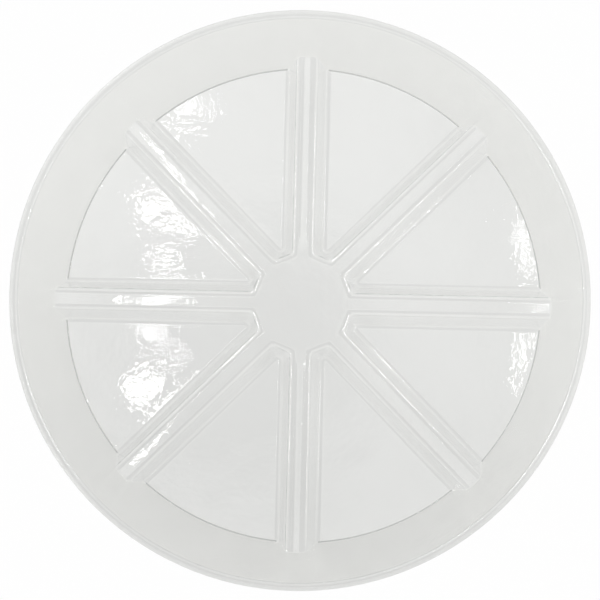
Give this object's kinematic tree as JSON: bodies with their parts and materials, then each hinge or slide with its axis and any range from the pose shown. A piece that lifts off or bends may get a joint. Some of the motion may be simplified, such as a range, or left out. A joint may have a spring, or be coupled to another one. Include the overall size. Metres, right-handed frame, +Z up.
{
  "type": "plant saucer",
  "caption": "Clear round plant saucer of thin formed plastic: a sloping wall with a narrow lip, and raised ribs meeting at a raised hub that hold a pot above the drained water.",
  "frame": {"origin": "on the saucer's axis, on the underside of the floor, where it rests on a surface", "axes": "+Z up along the saucer's axis, +X along rib_1"},
  "size_m": [0.305, 0.305, 0.044],
  "materials": {
    "clear_plastic": "clear, glossy, slightly wavy formed sheet"
  },
  "bodies": {
    "root": {"rim_lip": "clear_plastic", "side_wall": "clear_plastic", "hub": "clear_plastic", "rib_1": "clear_plastic", "rib_2": "clear_plastic", "rib_3": "clear_plastic", "rib_4": "clear_plastic", "rib_5": "clear_plastic", "rib_6": "clear_plastic", "rib_7": "clear_plastic", "rib_8": "clear_plastic", "floor_panel_1": "clear_plastic", "floor_panel_2": "clear_plastic", "floor_panel_3": "clear_plastic", "floor_panel_4": "clear_plastic", "floor_panel_5": "clear_plastic", "floor_panel_6": "clear_plastic", "floor_panel_7": "clear_plastic", "floor_panel_8": "clear_plastic"}
  },
  "joints": []
}
